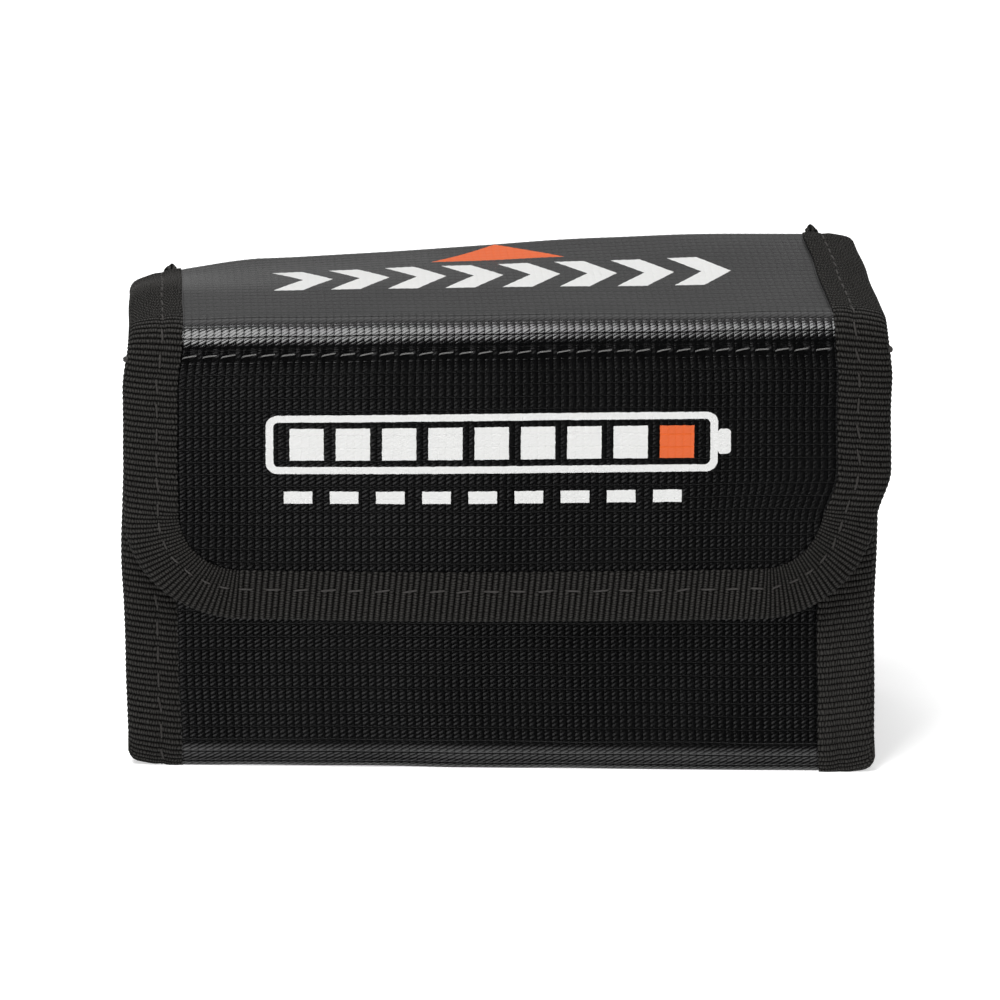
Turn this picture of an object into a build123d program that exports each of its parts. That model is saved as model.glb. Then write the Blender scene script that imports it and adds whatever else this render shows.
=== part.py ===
"""Fire-resistant charging and storage bag for lithium-polymer packs.

The bag is cut from coated glass-fibre cloth and sewn together. One cloth makes the front wall and
the base. A second makes the back wall and runs on over the hinge edge as the top of the flap. Two
tray-shaped side walls close the ends, and their turned-out edges are sewn to the walls and covered
by folded binding tape. The flap comes down over the front and is held by hook and loop tape.
Each cloth has a glass-fibre lining inside it. The sewing threads lie sunk in the cloth and tape.

Millimetres. +X is to the right as the front is faced, +Y is towards the back and +Z is up. The
origin is in the middle of the base, on the surface that the bag stands on. Left is -X.
"""

from build123d import *
from math import pi, sqrt
import os

# Overall size
BODY_WIDTH = 140.0  # over the bound side seams
FLAP_WIDTH = 143.0  # over the flap's binding, a little wider than the body
DEPTH = 66.6  # from the flap's binding to the back wall
HEIGHT = 90.5  # from the base to the top of the flap's binding
FLAP_BOTTOM = 30.0  # height of the flap's free edge

# Cloth, tape and thread
CLOTH = 1.0
LINING = 0.8
TAPE = 0.7
TAPE_COVER = 10.0  # how far the folded tape reaches over each face
STITCH_INSET = 6.7  # from the tape's folded edge to the stitching
THREAD_WIDTH = 0.4
THREAD_DEPTH = 0.3
FASTENER_ROOM = 2.2  # between the flap and the front wall, for the hook and loop tapes

# Bends
CORNER_RADIUS = 6.0  # base corners and the hinge edge, on the outer face
FOLD_RADIUS = 7.0  # the flap's front fold, on the outer face
FLAP_CORNER_RADIUS = 22.0  # the free corners of the flap, seen from the front

# Walls
SIDE_X = 60.0  # inner face of the side walls
FRONT_MOUTH = 81.1  # height of the front wall
SIDE_MOUTH = 85.3  # height of the side walls
BACK_RIM = 83.5  # height of the side seams at the back
SEAM_STEP = 1.0  # width over which a cloth steps in to its seam allowance
CLEAR = 0.3  # gap between pieces that move past each other

# Hook and loop tapes
STRIP_HALF_LENGTH = 50.0
STRIP_LOW = 44.0
STRIP_HIGH = 64.0
LOOP_THICKNESS = 1.0
HOOK_THICKNESS = 0.9
STRIP_STITCH_INSET = 1.5

# Places worked out from the sizes above
BACK = DEPTH / 2
TOP = HEIGHT - TAPE
FLAP_FRONT = -DEPTH / 2 + TAPE
FLAP_STACK = CLOTH + LINING
BODY_FRONT = FLAP_FRONT + FLAP_STACK + FASTENER_ROOM
BASE_SEAM = BACK - CORNER_RADIUS
HALF_BODY = BODY_WIDTH / 2
HALF_FLAP = FLAP_WIDTH / 2
SEAM_CORE = 2 * CLOTH  # wall cloth and side cloth, inside the side binding
LINED_X = SIDE_X - SEAM_STEP  # the linings stop here
FAR = 200.0  # longer than anything in the bag

# A cloth bent round radius r unrolls about a line this far in from its sharp corner
UNROLL = 1 - pi / 4
HINGE = (BACK - UNROLL * CORNER_RADIUS, TOP - UNROLL * CORNER_RADIUS)
FOLD = (FLAP_FRONT + UNROLL * FOLD_RADIUS, TOP - UNROLL * FOLD_RADIUS)
REACH = 8.0  # how far the cuts through a bend run each side of its line
CUT = CLEAR / 2 / sqrt(2)  # half the gap at a bend, along Y and along Z

# Side-view outlines, drawn with Y across and Z up


def body_outline(inset):
    """The body seen from the side, inset from its outer face."""
    shape = RectangleRounded(
        BACK - BODY_FRONT - 2 * inset, TOP - 2 * inset, CORNER_RADIUS - inset
    )
    return Pos((BACK + BODY_FRONT) / 2, TOP / 2) * shape


def flap_outline(inset):
    """The flap seen from the side, filled, inset from its outer face."""
    low, high = FLAP_FRONT + inset, BACK - inset
    shape = Pos((low + high) / 2, (TOP - inset) / 2) * Rectangle(high - low, TOP - inset)
    top_corners = shape.vertices().group_by(Axis.Y)[-1].sort_by(Axis.X)
    shape = fillet(top_corners[0], FOLD_RADIUS - inset)
    top_back = shape.vertices().sort_by(Axis.X).group_by(Axis.X)[-1].sort_by(Axis.Y)[-1]
    return fillet(top_back, CORNER_RADIUS - inset)


def band(outline, outer, inner):
    """The strip between two insets of an outline."""
    return outline(outer) - outline(inner)


def region(*points):
    """A filled polygon in the side view."""
    return make_face(Polyline(*points, close=True))


# Zones of the side view, cut through each bend at 45 degrees
HINGE_IN = (HINGE[0] - REACH, HINGE[1] - REACH)
HINGE_OUT = (HINGE[0] + REACH, HINGE[1] + REACH)
FOLD_IN = (FOLD[0] + REACH, FOLD[1] - REACH)
FOLD_OUT = (FOLD[0] - REACH, FOLD[1] + REACH)

BACK_ZONE = region(
    (HINGE_OUT[0] + CUT, HINGE_OUT[1] - CUT),
    (HINGE_IN[0] + CUT, HINGE_IN[1] - CUT),
    (HINGE_IN[0] + CUT, FLAP_BOTTOM),
    (BASE_SEAM, FLAP_BOTTOM),
    (BASE_SEAM, -REACH),
    (HINGE_OUT[0] + CUT, -REACH),
)
FRONT_ZONE = region(
    (-BACK, -REACH), (BASE_SEAM, -REACH), (BASE_SEAM, FLAP_BOTTOM),
    (0, FLAP_BOTTOM), (0, FRONT_MOUTH), (-BACK, FRONT_MOUTH),
)
FLAP_TOP_ZONE = region(
    (HINGE_IN[0] - CUT, HINGE_IN[1] + CUT),
    (HINGE_OUT[0] - CUT, HINGE_OUT[1] + CUT),
    (FOLD_OUT[0] + CUT, FOLD_OUT[1] + CUT),
    (FOLD_IN[0] + CUT, FOLD_IN[1] + CUT),
)
FLAP_FRONT_ZONE = region(
    (FOLD_IN[0] - CUT, FOLD_IN[1] - CUT),
    (FOLD_OUT[0] - CUT, FOLD_OUT[1] - CUT),
    (-BACK - REACH, -REACH),
    (FOLD_IN[0] - CUT, -REACH),
)
BEHIND_HINGE = Pos(BACK, TOP) * Rectangle(2 * CORNER_RADIUS, FAR)
BELOW_SIDE_MOUTH = Pos(0, SIDE_MOUTH / 2) * Rectangle(FAR, SIDE_MOUTH)
BELOW_BACK_RIM = Pos(BACK, BACK_RIM / 2) * Rectangle(2 * BACK, BACK_RIM)
SEAM_ZONE = BELOW_BACK_RIM + Pos(-BACK, FRONT_MOUTH / 2) * Rectangle(2 * BACK, FRONT_MOUTH)

# Solids from outlines


def across(sketch, x_low, x_high):
    """Extrudes a side-view sketch from x_low to x_high."""
    return extrude(Plane.YZ.offset(x_low) * sketch, x_high - x_low)


def both_sides(make):
    """The solids that make(sign) gives for the left and right."""
    return make(-1) + make(1)


def side_span(sign, inner, outer):
    """The X limits of a span that lies from inner to outer on one side."""
    return (inner, outer) if sign > 0 else (-outer, -inner)


def block(x, y, z):
    """A box from three (low, high) pairs."""
    size = [high - low for low, high in (x, y, z)]
    centre = [(low + high) / 2 for low, high in (x, y, z)]
    return Pos(*centre) * Box(*size)


def flap_face(inset):
    """The flap seen from the front, inset from its outer edge, and cut right through along Y."""
    width, low = FLAP_WIDTH - 2 * inset, FLAP_BOTTOM + inset
    shape = Pos(0, (low + FAR) / 2) * Rectangle(width, FAR - low)
    corners = shape.vertices().group_by(Axis.Y)[0]
    shape = fillet(corners, FLAP_CORNER_RADIUS - inset)
    return extrude(Plane.XZ * shape, FAR, both=True)


def thread_loop(y_face, deep):
    """A rectangle of stitching sunk in a strip's face, which looks along Y."""
    x, low, high = STRIP_HALF_LENGTH, STRIP_LOW, STRIP_HIGH
    loops = [
        block(
            (-x + step, x - step),
            (min(y_face, y_face + deep), max(y_face, y_face + deep)),
            (low + step, high - step),
        )
        for step in (STRIP_STITCH_INSET, STRIP_STITCH_INSET + THREAD_WIDTH)
    ]
    return loops[0] - loops[1]


# Walls of the body


def wall_panel(zone, above_rim=None):
    """A wall cloth whose edges step in by the tape's thickness, so that the tape lies flush."""
    flange_zone = zone & SEAM_ZONE
    cloth = across(band(body_outline, 0, CLOTH) & zone, -SIDE_X, SIDE_X)

    def seam_allowance(sign):
        step = across(
            band(body_outline, 0, TAPE + CLOTH) & flange_zone,
            *side_span(sign, LINED_X, SIDE_X),
        )
        flange = across(
            band(body_outline, TAPE, TAPE + CLOTH) & flange_zone,
            *side_span(sign, SIDE_X, HALF_BODY - TAPE),
        )
        return step + flange

    cloth += both_sides(seam_allowance)
    if above_rim is not None:
        cloth += across(above_rim, -HALF_BODY + TAPE, HALF_BODY - TAPE)
    return cloth


def side_panel(sign):
    """A tray: a flat wall with its front, lower and back edges turned outwards."""
    inset = TAPE + CLOTH
    wall = across(body_outline(inset) & BELOW_SIDE_MOUTH, *side_span(sign, SIDE_X, SIDE_X + CLOTH))
    turned_out = across(
        band(body_outline, inset, inset + CLOTH) & SEAM_ZONE,
        *side_span(sign, SIDE_X, HALF_BODY - TAPE),
    )
    return wall + turned_out


def side_lining(sign):
    return across(
        body_outline(FLAP_STACK) & BELOW_SIDE_MOUTH,
        *side_span(sign, SIDE_X - LINING, SIDE_X),
    )


def side_binding_thread(sign):
    """The needle thread on the outer face and the bobbin thread on the inner one."""
    middle = HALF_BODY - STITCH_INSET
    span = side_span(sign, middle - THREAD_WIDTH / 2, middle + THREAD_WIDTH / 2)
    inner_face = 2 * TAPE + SEAM_CORE
    needle = across(band(body_outline, 0, THREAD_DEPTH) & SEAM_ZONE, *span)
    bobbin = across(
        band(body_outline, inner_face - THREAD_DEPTH, inner_face) & SEAM_ZONE, *span
    )
    return needle + bobbin


def side_binding(sign):
    """Tape folded over the three sewn edges of a side wall."""
    inner_face = 2 * TAPE + SEAM_CORE
    outer = across(
        band(body_outline, 0, TAPE) & SEAM_ZONE, *side_span(sign, SIDE_X, HALF_BODY)
    )
    inner = across(
        band(body_outline, TAPE + SEAM_CORE, inner_face) & SEAM_ZONE,
        *side_span(sign, SIDE_X + CLOTH, HALF_BODY),
    )
    folded_edge = across(
        band(body_outline, TAPE, TAPE + SEAM_CORE) & SEAM_ZONE,
        *side_span(sign, HALF_BODY - TAPE, HALF_BODY),
    )
    return outer + inner + folded_edge - side_binding_thread(sign)


# Bindings round the mouth


def mouth_thread(normal, faces, run, top):
    """Threads on both faces of a mouth binding, which looks along the axis named by normal."""
    middle = top + TAPE - STITCH_INSET
    height = (middle - THREAD_WIDTH / 2, middle + THREAD_WIDTH / 2)
    low, high = faces
    threads = []
    for depth in ((low, low + THREAD_DEPTH), (high - THREAD_DEPTH, high)):
        threads.append(
            block(depth, run, height) if normal == "X" else block(run, depth, height)
        )
    return threads[0] + threads[1]


def mouth_binding(normal, faces, run, top):
    """Tape folded over the top edge of a wall, between its two outer faces."""
    low, high = faces
    tall = (top + TAPE - TAPE_COVER, top + TAPE)
    core_tall = (0, top)
    core = (low + TAPE, high - TAPE)
    if normal == "X":
        tape = block(faces, run, tall) - block(core, run, core_tall)
    else:
        tape = block(run, faces, tall) - block(run, core, core_tall)
    return tape - mouth_thread(normal, faces, run, top)


FRONT_MOUTH_PLACE = (
    "Y",
    (BODY_FRONT - TAPE, BODY_FRONT + FLAP_STACK + TAPE),
    (-LINED_X + TAPE, LINED_X - TAPE),
    FRONT_MOUTH,
)


def side_mouth_place(sign):
    rim = 2 * TAPE + SEAM_CORE + CLEAR
    faces = side_span(sign, SIDE_X - LINING - TAPE, SIDE_X + CLOTH + TAPE)
    return "X", faces, (BODY_FRONT + rim, BACK - rim), SIDE_MOUTH


# The flap


def flap_cloth(outer, inner, zone):
    """One layer of the flap, inside its binding."""
    layer = across(band(flap_outline, outer, inner) & zone, -HALF_FLAP, HALF_FLAP)
    return layer & flap_face(TAPE)


def flap_thread(zone):
    """Threads on the outer and inner faces of the flap's binding."""
    ring = flap_face(STITCH_INSET) - flap_face(STITCH_INSET + THREAD_WIDTH)
    lowest = FLAP_STACK + TAPE
    needle = across(
        band(flap_outline, -TAPE, THREAD_DEPTH - TAPE) & zone, -HALF_FLAP, HALF_FLAP
    )
    bobbin = across(
        band(flap_outline, lowest - THREAD_DEPTH, lowest) & zone, -HALF_FLAP, HALF_FLAP
    )
    return (needle & ring) + (bobbin & ring)


def flap_binding(zone):
    """Tape folded over the edge of the flap."""
    ring = flap_face(0) - flap_face(TAPE_COVER)
    thick = across(
        band(flap_outline, -TAPE, FLAP_STACK + TAPE) & zone, -HALF_FLAP, HALF_FLAP
    )
    return (thick & ring) - flap_cloth(0, FLAP_STACK, zone) - flap_thread(zone)


def crease_thread():
    """Stitching across the flap just under its front fold, on the cloth and on the lining."""
    half = HALF_FLAP - TAPE_COVER
    high = TOP - FOLD_RADIUS - THREAD_DEPTH
    height = (high - THREAD_WIDTH, high)
    outer = block((-half, half), (FLAP_FRONT, FLAP_FRONT + THREAD_DEPTH), height)
    inside = FLAP_FRONT + FLAP_STACK
    inner = block((-half, half), (inside - THREAD_DEPTH, inside), height)
    return outer + inner


def half_of(shape, sign):
    """The part of a shape on the left or the right."""
    return shape & block(side_span(sign, 0, FAR), (-FAR, FAR), (-FAR, FAR))


# Every sub-part, by name

above_back_rim = (band(body_outline, 0, CLOTH) & BACK_ZONE) - BELOW_BACK_RIM
base_thread = block(
    (-SIDE_X, SIDE_X),
    (BASE_SEAM - STRIP_STITCH_INSET - THREAD_WIDTH, BASE_SEAM - STRIP_STITCH_INSET),
    (0, THREAD_DEPTH),
)
flap_edge_zone = FLAP_TOP_ZONE - BEHIND_HINGE
front_lining = across(band(body_outline, CLOTH, FLAP_STACK) & FRONT_ZONE, -LINED_X, LINED_X)
back_lining = across(band(body_outline, CLOTH, FLAP_STACK) & BACK_ZONE, -LINED_X, LINED_X)
top_binding = flap_binding(flap_edge_zone)
hook_face = FLAP_FRONT + FLAP_STACK + HOOK_THICKNESS
loop_face = BODY_FRONT - LOOP_THICKNESS
strip = (-STRIP_HALF_LENGTH, STRIP_HALF_LENGTH)
strip_height = (STRIP_LOW, STRIP_HIGH)
hook_thread = thread_loop(hook_face, -THREAD_DEPTH)
loop_thread = thread_loop(loop_face, THREAD_DEPTH)

parts = {
    "front_base_panel": wall_panel(FRONT_ZONE) - base_thread,
    "back_panel": wall_panel(BACK_ZONE, above_back_rim),
    "front_base_lining": front_lining,
    "back_lining": back_lining,
    "base_seam_thread": base_thread,
    "front_mouth_binding": mouth_binding(*FRONT_MOUTH_PLACE),
    "front_mouth_thread": mouth_thread(*FRONT_MOUTH_PLACE),
    "loop_strip": block(strip, (loop_face, BODY_FRONT), strip_height) - loop_thread,
    "loop_strip_thread": loop_thread,
    "flap_top_panel": flap_cloth(0, CLOTH, FLAP_TOP_ZONE),
    "flap_top_lining": flap_cloth(CLOTH, FLAP_STACK, FLAP_TOP_ZONE),
    "flap_top_binding_thread": flap_thread(flap_edge_zone),
    "flap_front_panel": flap_cloth(0, CLOTH, FLAP_FRONT_ZONE) - crease_thread(),
    "flap_front_lining": flap_cloth(CLOTH, FLAP_STACK, FLAP_FRONT_ZONE) - crease_thread(),
    "flap_front_binding": flap_binding(FLAP_FRONT_ZONE),
    "flap_front_binding_thread": flap_thread(FLAP_FRONT_ZONE),
    "flap_crease_thread": crease_thread(),
    "hook_strip": block(strip, (hook_face - HOOK_THICKNESS, hook_face), strip_height)
    - hook_thread,
    "hook_strip_thread": hook_thread,
}
for side, sign in (("left", -1), ("right", 1)):
    parts[f"{side}_side_panel"] = side_panel(sign)
    parts[f"{side}_side_lining"] = side_lining(sign)
    parts[f"{side}_side_binding"] = side_binding(sign)
    parts[f"{side}_side_binding_thread"] = side_binding_thread(sign)
    parts[f"{side}_mouth_binding"] = mouth_binding(*side_mouth_place(sign))
    parts[f"{side}_mouth_thread"] = mouth_thread(*side_mouth_place(sign))
    parts[f"{side}_flap_top_binding"] = half_of(top_binding, sign)

os.makedirs("parts", exist_ok=True)
for name, shape in parts.items():
    export_step(shape, f"parts/{name}.step")

print("hinge line, Y and Z:", HINGE)
print("fold line, Y and Z:", FOLD)
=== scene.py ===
from itertools import accumulate
from math import cos, exp, pi, radians, sin
from random import Random

import bmesh
import bpy
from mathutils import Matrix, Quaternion, Vector, noise


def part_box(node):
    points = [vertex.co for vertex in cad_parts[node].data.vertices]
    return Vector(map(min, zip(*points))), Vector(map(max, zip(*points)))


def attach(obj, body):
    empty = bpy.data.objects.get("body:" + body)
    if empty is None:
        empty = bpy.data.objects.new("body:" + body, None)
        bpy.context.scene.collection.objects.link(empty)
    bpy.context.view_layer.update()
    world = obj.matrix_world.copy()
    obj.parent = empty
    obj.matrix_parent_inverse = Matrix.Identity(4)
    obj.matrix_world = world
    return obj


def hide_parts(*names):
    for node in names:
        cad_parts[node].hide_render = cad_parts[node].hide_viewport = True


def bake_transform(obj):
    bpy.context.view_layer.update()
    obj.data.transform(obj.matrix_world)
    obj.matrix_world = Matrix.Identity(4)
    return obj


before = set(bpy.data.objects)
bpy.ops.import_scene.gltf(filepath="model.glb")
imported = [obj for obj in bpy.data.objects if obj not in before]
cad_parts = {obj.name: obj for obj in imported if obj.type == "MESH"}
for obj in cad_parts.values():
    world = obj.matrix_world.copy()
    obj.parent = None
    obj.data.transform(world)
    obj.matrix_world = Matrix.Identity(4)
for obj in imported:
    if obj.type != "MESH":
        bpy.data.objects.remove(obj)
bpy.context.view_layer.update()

# FRONT WALL AND BASE
# One length of coated glass-fibre cloth makes the front wall and the base. It is cut flat, bent round
# the lower front corner and sewn to the back wall's cloth under the bag. Like every piece of the bag
# it is made flat here, then bent along the bag's outline and settled as the soft bag has settled.

MM = 0.001
BASE_CORNER = 6 * MM
FOLD_CORNER = 7 * MM
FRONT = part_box("front_base_panel")[0].y
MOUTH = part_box("front_base_panel")[1].z
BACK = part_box("back_panel")[1].y
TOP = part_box("flap_top_panel")[1].z
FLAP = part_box("flap_front_panel")[0].y
FREE_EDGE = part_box("flap_front_binding")[0].z
HALF_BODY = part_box("right_side_binding")[1].x
HALF_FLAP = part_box("flap_front_binding")[1].x


def runs_and_turns(corners, radii):
    """The way through (Y, Z) corners, as (start, heading, turn or None, radius, length)."""
    start, found = Vector(corners[0]), []
    for here, ahead, radius in zip(corners[1:-1], corners[2:], radii):
        here, ahead = Vector(here), Vector(ahead)
        heading, turn = (here - start).normalized(), (ahead - here).normalized()
        stop = here - heading * radius
        found.append((start, heading, None, 0, (stop - start).length))
        found.append((stop, heading, turn, radius, radius * pi / 2))
        start = here + turn * radius
    end = Vector(corners[-1])
    found.append((start, (end - start).normalized(), None, 0, (end - start).length))
    return found


# The outer face from the side: down the front, under the base, up the back, over the top and down the
# flap's front. Distances along it start at the mouth of the front wall.
GIRTH = runs_and_turns(
    [(FRONT, MOUTH), (FRONT, 0), (BACK, 0), (BACK, TOP), (FLAP, TOP), (FLAP, FREE_EDGE)],
    [BASE_CORNER, BASE_CORNER, BASE_CORNER, FOLD_CORNER],
)
(
    WALL_END, BASE_START, BASE_END, BACK_START, BACK_END, TOP_START, TOP_END, FLAP_START, FLAP_END,
) = accumulate(run[-1] for run in GIRTH)
BENDS = ((WALL_END, BASE_START), (BASE_END, BACK_START), (BACK_END, TOP_START), (TOP_END, FLAP_START))


def girth(s, out):
    """Y and Z at distance s along the outer face and at height out above it."""
    for start, heading, turn, radius, length in GIRTH[:-1]:
        if s <= length:
            break
        s -= length
    else:
        start, heading, turn, radius, length = GIRTH[-1]
    if turn is None:
        way, place = heading, start + heading * s
    else:
        angle = s / radius
        way = heading * cos(angle) + turn * sin(angle)
        place = start + turn * radius * (1 - cos(angle)) + heading * radius * sin(angle)
    return place + Vector((way.y, -way.x)) * out


def smooth(share):
    """Eases from 0 to 1."""
    share = min(1, max(0, share))
    return share * share * (3 - 2 * share)


CREASE = FLAP_START - 0.7 * MM  # the row of stitches under the flap's front fold
CREASE_PITCH = 3.7 * MM
CREASE_DEPTH = 0.45 * MM
SWELL = 0.6 * MM
SEAM_TURN = 1.3 * MM  # how far the bound edges have turned in
STIFF_EDGE = 9 * MM


def swell(x, s):
    """How far the soft cloth stands out from its true line, least beside the stiff seams."""
    free = 0.25 + 0.75 * smooth((HALF_BODY - abs(x)) / (24 * MM))
    broad = noise.noise(Vector((x / (46 * MM), s / (31 * MM), 0.4)))
    small = noise.noise(Vector((x / (17 * MM), s / (13 * MM), 5.7)))
    crease = exp(-(((s - CREASE) / (1.2 * MM)) ** 2)) * smooth((HALF_FLAP - abs(x)) / (12 * MM))
    between = 0.8 + 0.2 * cos(2 * pi * x / CREASE_PITCH)
    return SWELL * free * (broad + 0.22 * small) - CREASE_DEPTH * crease * between


DROOP = 4.4 * MM  # how far the left of the back top edge has sunk
CORNER_DROOP = 3.4 * MM  # and how much further its corner has
RISE = 2.2 * MM  # how much taller the bag stands at its right than at its left
SAG = 1.0 * MM  # how far the flap's free edge hangs down in the middle
MOUTH_DROP = 1.6 * MM  # how far the front of the mouth has sunk
FOOT_PUSH = 3.0 * MM  # how far the weight inside has pushed out the front of the foot
FLAP_SKEW, BACK_SKEW = 1.15 * MM, -3.1 * MM  # sideways lean of the flap's front, and of the back's top
FOOT_SKEW, WAIST_SKEW, MOUTH_SKEW = 0.29 * MM, -4.83 * MM, 6.51 * MM  # and the front wall's, as a curve
CORNER_PULL = 2.5 * MM  # how far the flap's lower right corner has drawn in
BODY_GROWTH, FLAP_GROWTH, HINGE_GROWTH = 0.008, 0.002, -0.018  # how much wider each has spread
TOP_PINCH = 0.018  # how much the flap's top has drawn in
FLAP_MIDDLE, FLAP_EASE = 47.6 * MM, 0.05  # the flap's front has shrunk in height about this height
EDGE_WANDER, WANDER_LENGTH = 0.45 * MM, 16 * MM


def settle(place, on_flap=False):
    """Moves a place on the true box to where it lies on the soft, slightly lopsided bag."""
    x, y, z = place
    forward = (BACK - y) / (BACK - FLAP)
    height = max(0, z / TOP)
    back_skew = BACK_SKEW * height
    if on_flap:
        growth = FLAP_GROWTH - TOP_PINCH * smooth((z - 76 * MM) / (12 * MM))
        pulled = smooth((59 * MM - z) / (10 * MM)) * smooth((x - 30 * MM) / (35 * MM))
        front_skew = FLAP_SKEW - CORNER_PULL * pulled
    else:
        growth = BODY_GROWTH
        front_skew = FOOT_SKEW + WAIST_SKEW * height + MOUTH_SKEW * height**2
    growth += (HINGE_GROWTH - growth) * smooth(1 - 2 * forward) * height**3
    sunk = DROOP * smooth((50 * MM - x) / (110 * MM))
    sunk += CORNER_DROOP * max(0, (-x - 46 * MM) / (24 * MM)) ** 1.4
    z -= sunk * (0.15 + 0.85 * smooth(1.05 - 1.6 * forward)) * height**1.5
    z += RISE * (x / HALF_BODY + 1) / 2 * (1 - (1 - min(1, height)) ** 2)
    if on_flap:
        z -= FLAP_EASE * (z - FLAP_MIDDLE) * forward
        z -= SAG * cos(pi * x / (2 * HALF_FLAP)) * forward * smooth((70 * MM - z) / (35 * MM))
    else:
        z -= MOUTH_DROP * smooth((height - 0.7) / 0.2) * smooth((forward - 0.3) / 0.4)
        deep = y - FRONT
        pushed = smooth(deep / (5 * MM)) * smooth((18 * MM - deep) / (12 * MM))
        y -= FOOT_PUSH * pushed * smooth(2 - z / (3 * MM))
    side = 3 if x > 0 else -3
    wander = EDGE_WANDER * noise.noise(Vector((side, y / WANDER_LENGTH, z / WANDER_LENGTH)))
    aside = growth * x + back_skew + (front_skew - back_skew) * forward
    aside += wander * smooth((abs(x) - 35 * MM) / (30 * MM))
    return Vector((x + aside, y, max(z, 0)))


def half_width(s):
    """Half of the bound width, which grows from the body's to the flap's over the hinge edge."""
    return HALF_BODY + (HALF_FLAP - HALF_BODY) * smooth((s - BACK_END) / (TOP_START - BACK_END))


def on_bag(x, s, out):
    """The place on the bag of a point x across and s along the flat cloth, and out above it."""
    turned = SEAM_TURN * max(0, 1 - (half_width(s) - abs(x)) / STIFF_EDGE) ** 2
    y, z = girth(s, out + swell(x, s) - turned)
    return settle(Vector((x, y, z)), s > BACK_END)


def keep_flat(bm, flat_place):
    """Keeps each vertex's flat place, in millimetres, as the UV map that the materials read."""
    flat = bm.loops.layers.uv.new("flat")
    for face in bm.faces:
        for loop in face.loops:
            loop[flat].uv = flat_place[loop.vert]


def lay_on_bag(bm):
    """Lays flat cloth on the bag."""
    keep_flat(bm, {vert: vert.co.xy / MM for vert in bm.verts})
    for vert in bm.verts:
        vert.co = on_bag(*vert.co)
    bmesh.ops.reverse_faces(bm, faces=bm.faces[:])


RIB_PITCH = 1.42 * MM
RIB_HEIGHT = 0.03 * MM


def scrim(x):
    """Height of the scrim's lengthwise threads, which stand up under the coating."""
    return RIB_HEIGHT * (0.5 - 0.5 * cos(2 * pi * x / RIB_PITCH))


def spread(low, high, count):
    """Places from low to high in this many even steps."""
    return [low + (high - low) * number / count for number in range(count + 1)]


def columns(half, step=RIB_PITCH / 4):
    """Places across the cloth, four to each lengthwise thread unless it has none."""
    return spread(-half, half, 2 * round(half / step))


def stations(begin, end, fine=0.7 * MM, coarse=2.2 * MM):
    """Places along the cloth, closer together near its bends."""
    found = [begin]
    while found[-1] < end:
        near = any(low - 3 * MM < found[-1] < high + 3 * MM for low, high in BENDS)
        found.append(min(end, found[-1] + (fine if near else coarse)))
    return found


def flat_cloth(across, along, above, width=lambda s: 1.0):
    """A flat grid with a point at each pair of places, raised by above and scaled across by width."""
    bm = bmesh.new()
    bmesh.ops.create_grid(bm, x_segments=len(across) - 1, y_segments=len(along) - 1, size=0.5)
    for number, vert in enumerate(bm.verts):
        s = along[number // len(across)]
        x = across[number % len(across)] * width(s)
        vert.co = (x, s, above(x, s))
    return bm


def piece(name, bm, thickness=0.0):
    """Makes the object. Cloth gets its thickness here, and its cut edges stay sharp."""
    for face in bm.faces:
        face.smooth = True
    for edge in bm.edges:
        edge.smooth = not edge.is_boundary
    mesh = bpy.data.meshes.new(name)
    bm.to_mesh(mesh)
    bm.free()
    made = bpy.data.objects.new(name, mesh)
    bpy.context.scene.collection.objects.link(made)
    if thickness:
        wall = made.modifiers.new("thickness", "SOLIDIFY")
        wall.thickness = thickness
        wall.offset = -1
    return made


def dress(made, material):
    """Gives a piece its material."""
    made.data.materials.append(material)


def feed(inputs, values):
    """Gives each named input its value: a link from a socket, or a plain value set on it."""
    for name, value in dict(values).items():
        if isinstance(value, bpy.types.NodeSocket):
            value.id_data.links.new(value, inputs[name])
        else:
            inputs[name].default_value = value


def node(tree, kind, inputs=(), **settings):
    """Adds a shader node, to the tree or to the tree of the socket that is given."""
    made = tree.id_data.nodes.new("ShaderNode" + kind)
    for name, value in settings.items():
        setattr(made, name, value)
    feed(made.inputs, inputs)
    return made


def calc(operation, *values):
    """One step of arithmetic on sockets and numbers."""
    tree = next(value for value in values if isinstance(value, bpy.types.NodeSocket))
    return node(tree, "Math", enumerate(values), operation=operation).outputs[0]


def split(vector):
    """The X, Y and Z of a vector."""
    return node(vector, "SeparateXYZ", {"Vector": vector}).outputs


def uneven(flat, scale, detail):
    """Soft noise over the flat cloth, with scale in cycles to the millimetre."""
    return node(flat, "TexNoise", {"Vector": flat, "Scale": scale, "Detail": detail}).outputs["Fac"]


def bump(height, strength, distance):
    """The normal of a face with fine relief on it."""
    relief = {"Height": height, "Strength": strength, "Distance": distance}
    return node(height, "Bump", relief).outputs["Normal"]


def use(shared, flat, values):
    """Adds a shared node group on the flat coordinates, and gives its outputs."""
    return node(flat, "Group", {"Flat": flat, **values}, node_tree=shared).outputs


def group(name, given, results):
    """A new node group that works on flat coordinates, with its nodes' first and last sockets."""
    tree = bpy.data.node_groups.new(name, "ShaderNodeTree")
    tree.interface.new_socket("Flat", in_out="INPUT", socket_type="NodeSocketVector")
    for names, side in ((given, "INPUT"), (results, "OUTPUT")):
        for socket in names:
            tree.interface.new_socket(socket, in_out=side, socket_type="NodeSocketFloat")
    start, end = tree.nodes.new("NodeGroupInput"), tree.nodes.new("NodeGroupOutput")
    return tree, start.outputs, end.inputs


def ridges(phase, power):
    """Rounded ridges, one to each whole step of phase, flatter on top with a higher power."""
    off_centre = calc("MULTIPLY_ADD", calc("FRACT", phase), 2.0, -1.0)
    return calc("SUBTRACT", 1.0, calc("POWER", calc("ABSOLUTE", off_centre), power))


TIES_TO_ROW = 3.0  # rows of slanting yarns to each crosswise row


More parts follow.
